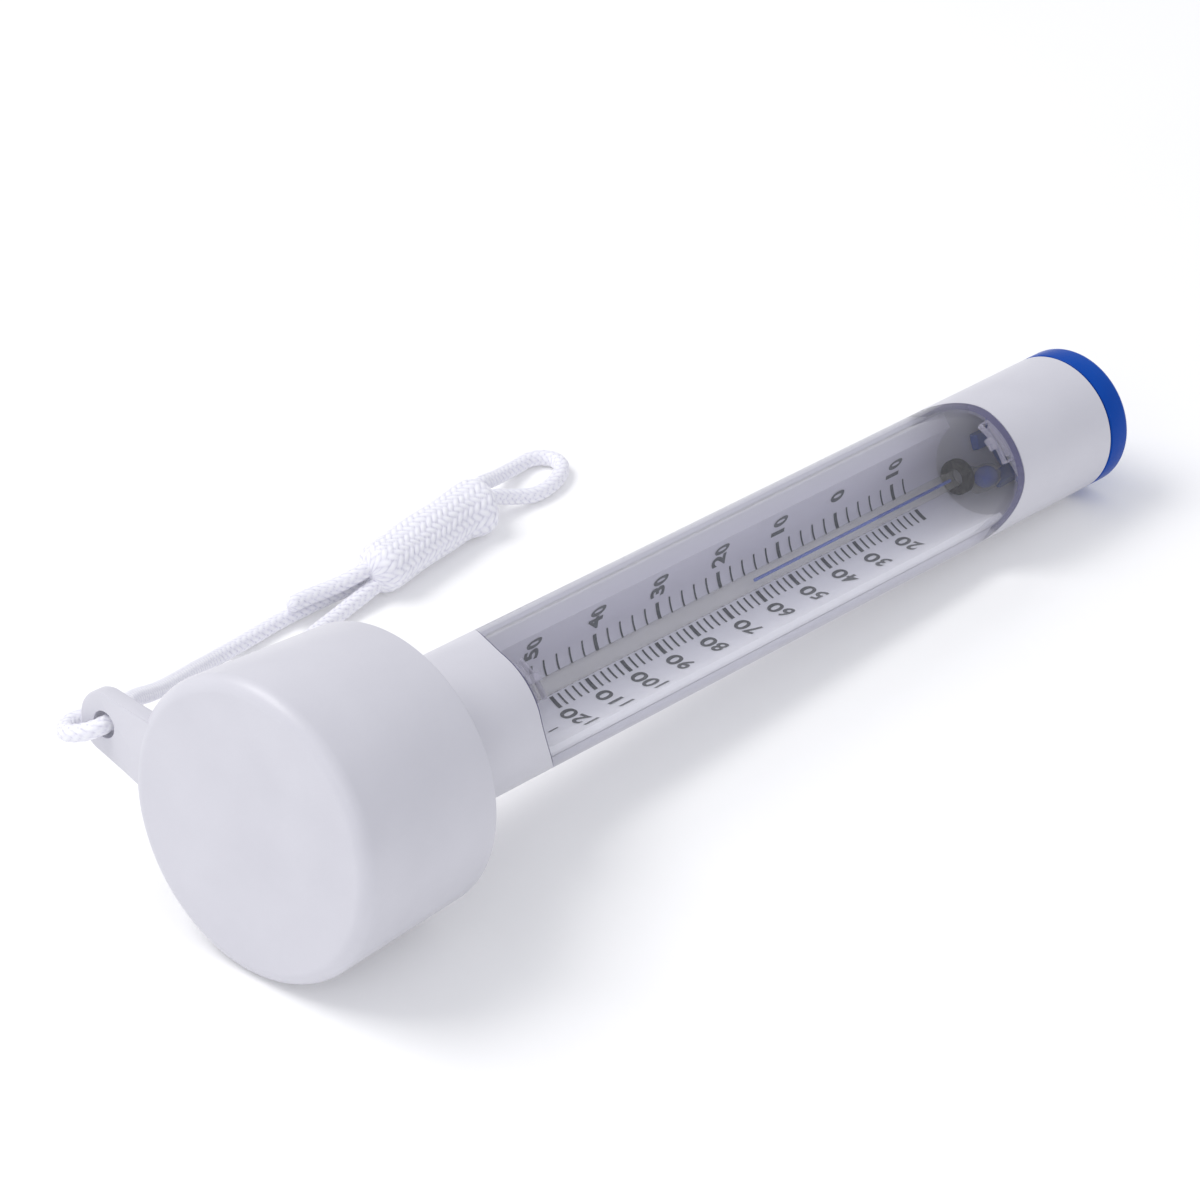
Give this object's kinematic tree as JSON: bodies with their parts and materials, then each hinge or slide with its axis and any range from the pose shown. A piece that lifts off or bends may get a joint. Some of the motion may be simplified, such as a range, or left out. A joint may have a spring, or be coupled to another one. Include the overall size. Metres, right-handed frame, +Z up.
{
  "type": "floating pool thermometer",
  "caption": "Floating water thermometer: hollow float drum with a cord lug, windowed tube with a dual-scale liquid column, weighted end cap and a knotted wrist cord.",
  "frame": {"origin": "on the table under the middle of the box of the thermometer lying on its side, cord left out", "axes": "+X along the tube from the float to the end cap, +Z up, +Y towards the cord lug"},
  "size_m": [0.1853, 0.0887, 0.0441],
  "materials": {
    "white_plastic": "satin moulded",
    "clear_plastic": "clear polished",
    "printed_card": "matte printed",
    "glass": "polished",
    "blue_liquid": "liquid",
    "blue_plastic": "satin moulded",
    "rubber": "matte",
    "steel": "turned",
    "cord": "braided"
  },
  "bodies": {
    "thermometer": {"float_shell": "white_plastic", "float_base": "white_plastic", "float_seal": "rubber", "neck_seal": "rubber", "body_tube": "white_plastic", "tube_plug": "white_plastic", "window": "clear_plastic", "scale_card": "printed_card", "thermometer_glass": "glass", "glass_tip": "glass", "liquid_column": "blue_liquid", "bulb_liquid": "blue_liquid", "upper_grommet": "rubber", "lower_grommet": "rubber", "ballast_weight": "steel", "end_cap": "blue_plastic", "cap_seal": "rubber", "cord_strand_back": "cord", "cord_strand_front": "cord", "cord_knot": "cord", "cord_end_loop": "cord", "cord_tail": "cord"},
    "liquid_top": {"column_tip": "blue_liquid"}
  },
  "joints": [
    {"name": "liquid_level", "type": "slide", "parent": "thermometer", "child": "liquid_top", "axis": [-0.998, 0, 0.0625], "range_m": [-0.0363, 0.04589], "deforming": ["liquid_column"]}
  ]
}
